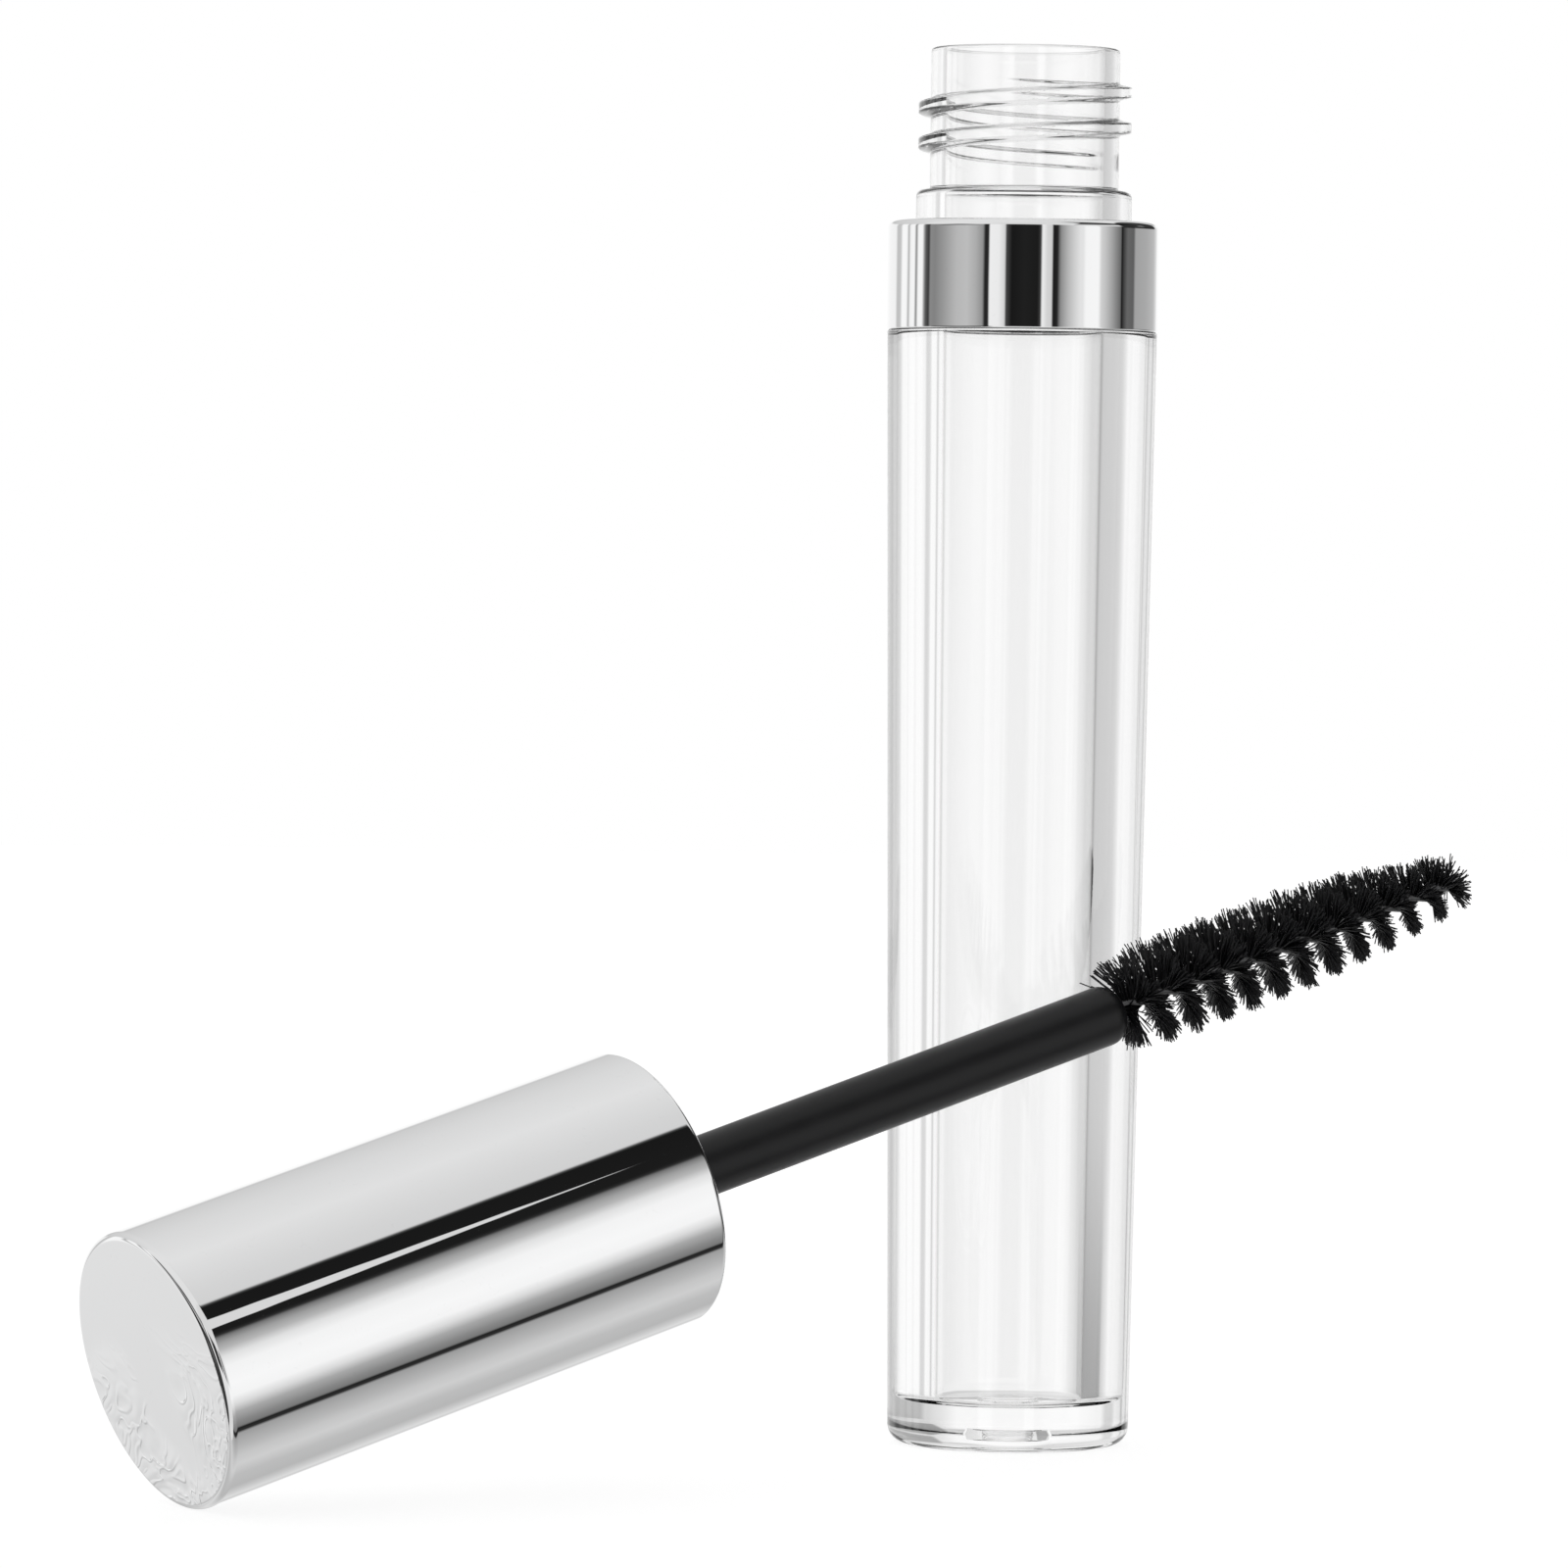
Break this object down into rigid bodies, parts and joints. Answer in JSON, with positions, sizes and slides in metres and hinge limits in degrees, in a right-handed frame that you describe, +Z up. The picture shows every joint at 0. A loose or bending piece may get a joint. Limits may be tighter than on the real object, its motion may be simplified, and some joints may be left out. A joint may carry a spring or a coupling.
{
  "type": "mascara tube with wand applicator",
  "caption": "Opened mascara tube: clear tapered bottle with a threaded neck and bright collar, and a bright cap with a black stem and bristle brush.",
  "frame": {"origin": "centre of the ring that the bottle stands on", "axes": "+Z up along the bottle's axis, out of its mouth; the opened applicator leans in front of the bottle on its -Y side, with its brush towards +X"},
  "size_m": [0.0943, 0.0701, 0.0984],
  "materials": {
    "clear_plastic": "crystal-clear moulded plastic, polished",
    "metallised_plastic": "vacuum-metallised plastic, mirror-bright silver",
    "liner_plastic": "moulded natural white plastic",
    "seal_foam": "soft white foam",
    "wiper_plastic": "soft translucent plastic",
    "black_plastic": "satin black moulded plastic",
    "steel_wire": "twisted stainless wire",
    "black_nylon": "cut nylon fibres"
  },
  "bodies": {
    "bottle": {"bottle": "clear_plastic", "collar": "metallised_plastic"},
    "seal": {"seal_washer": "seal_foam"},
    "applicator": {"cap_shell": "metallised_plastic", "cap_liner": "liner_plastic", "stem": "black_plastic", "wire_core": "steel_wire", "bristles": "black_nylon"},
    "wiper": {"wiper": "wiper_plastic"}
  },
  "joints": [
    {"name": "applicator_lift", "type": "slide", "parent": "bottle", "child": "seal", "axis": [0, 0, 1], "range_m": [0, 0.1]},
    {"name": "cap_turn", "type": "hinge", "parent": "seal", "child": "applicator", "pos_m": [-0.0569, -0.0526, 0.00899], "axis": [0.8122, 0.5095, 0.284], "continuous": true},
    {"name": "wiper_slide", "type": "slide", "parent": "applicator", "child": "wiper", "axis": [0.8122, 0.5095, 0.284], "range_m": [0, 0.039]}
  ]
}
